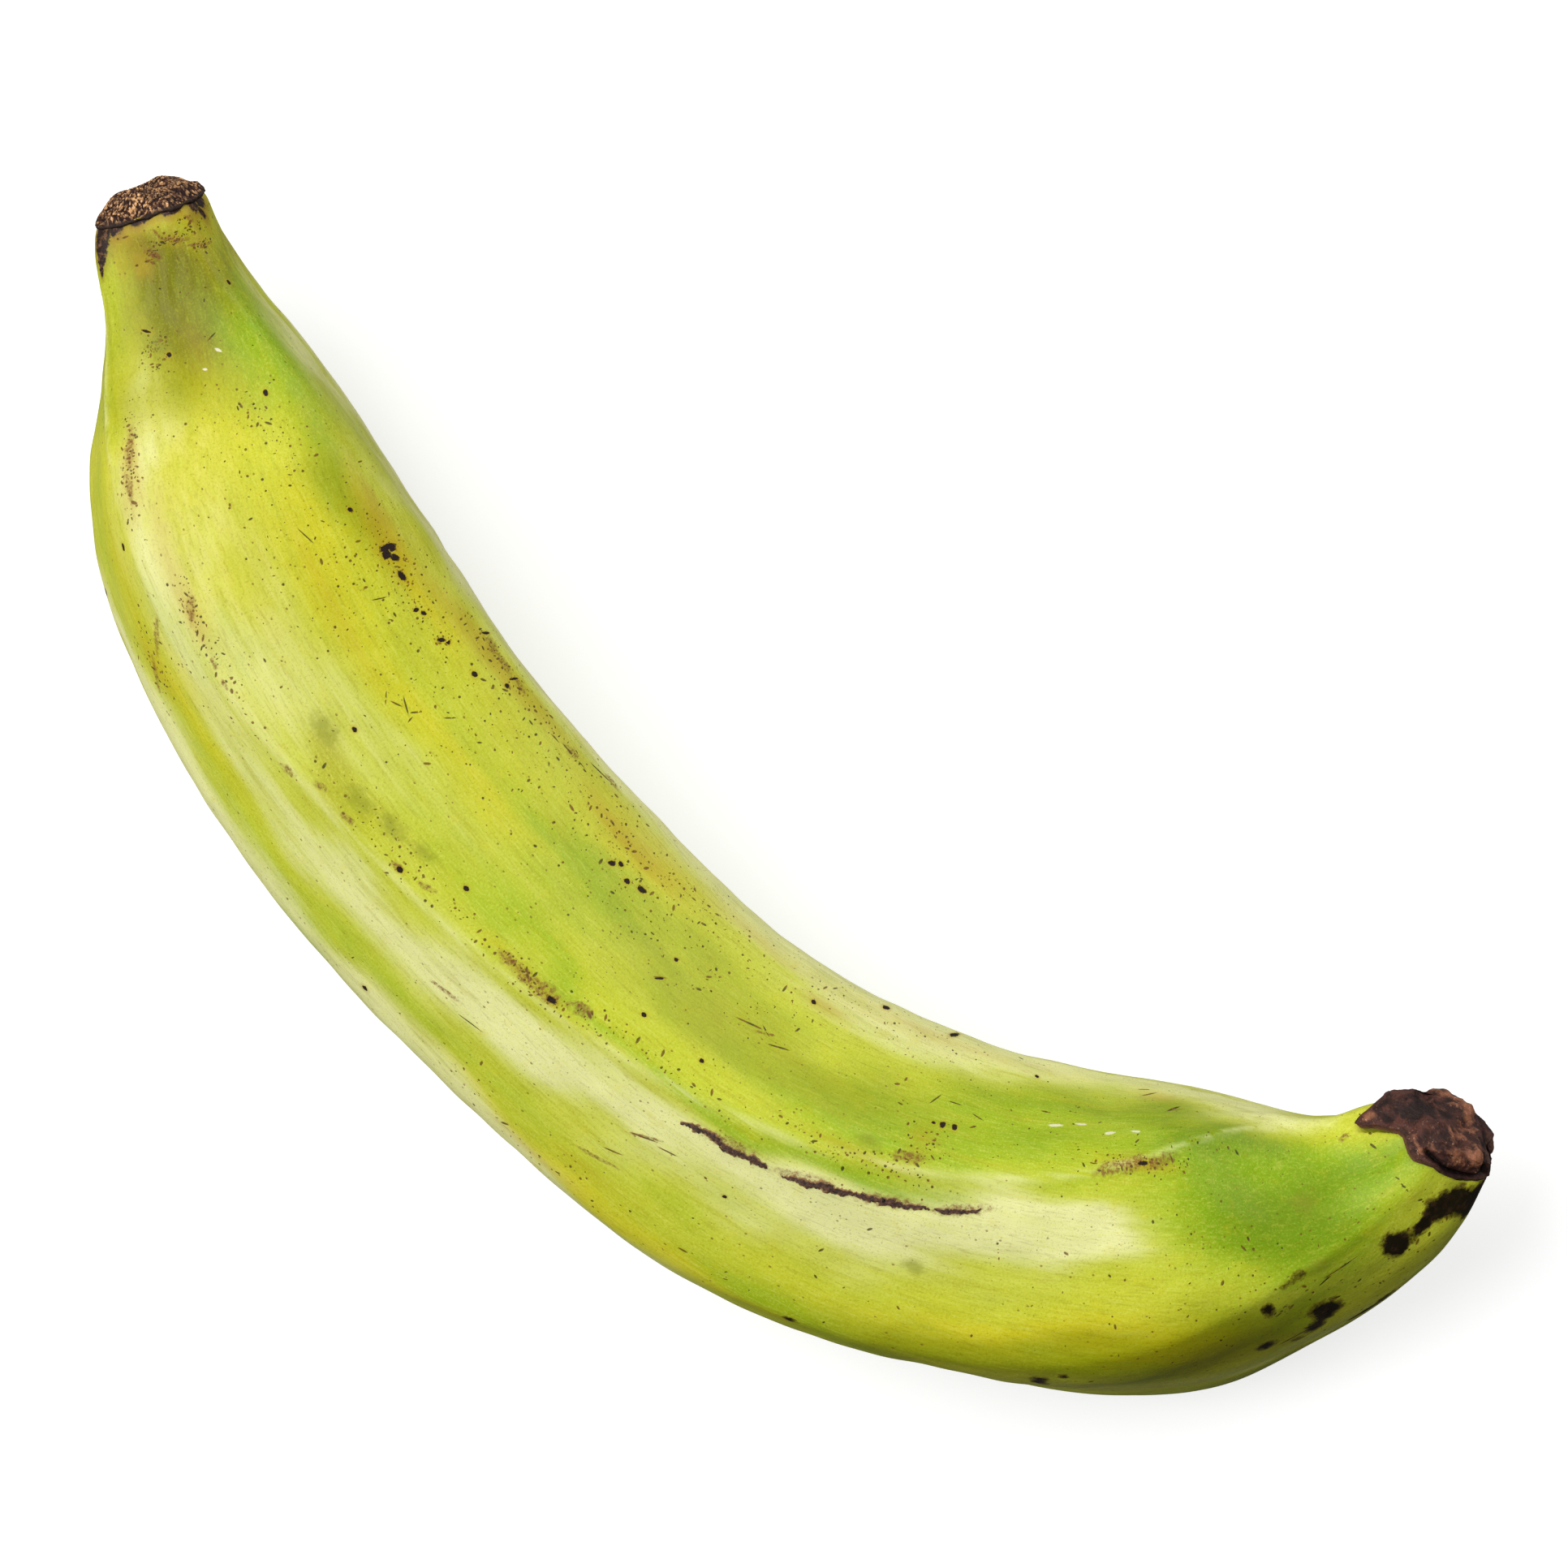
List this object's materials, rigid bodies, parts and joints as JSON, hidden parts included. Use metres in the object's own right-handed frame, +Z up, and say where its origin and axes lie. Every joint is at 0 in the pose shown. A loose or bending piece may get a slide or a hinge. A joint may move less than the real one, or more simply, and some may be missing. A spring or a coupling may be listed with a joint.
{
  "type": "plantain",
  "caption": "Whole green plantain, picked, curved and softly ridged, with a cut stem and a dried blossom end, lying on its side.",
  "frame": {"origin": "centre of the bounding box's base, on the surface that the fruit lies on", "axes": "+X along the chord of the bow from the stem cut to the blossom end, +Y towards the hollow side of the bow, +Z up"},
  "size_m": [0.2296, 0.0852, 0.0434],
  "materials": {
    "peel": null
  },
  "bodies": {
    "root": {"plantain": "peel"}
  },
  "joints": []
}
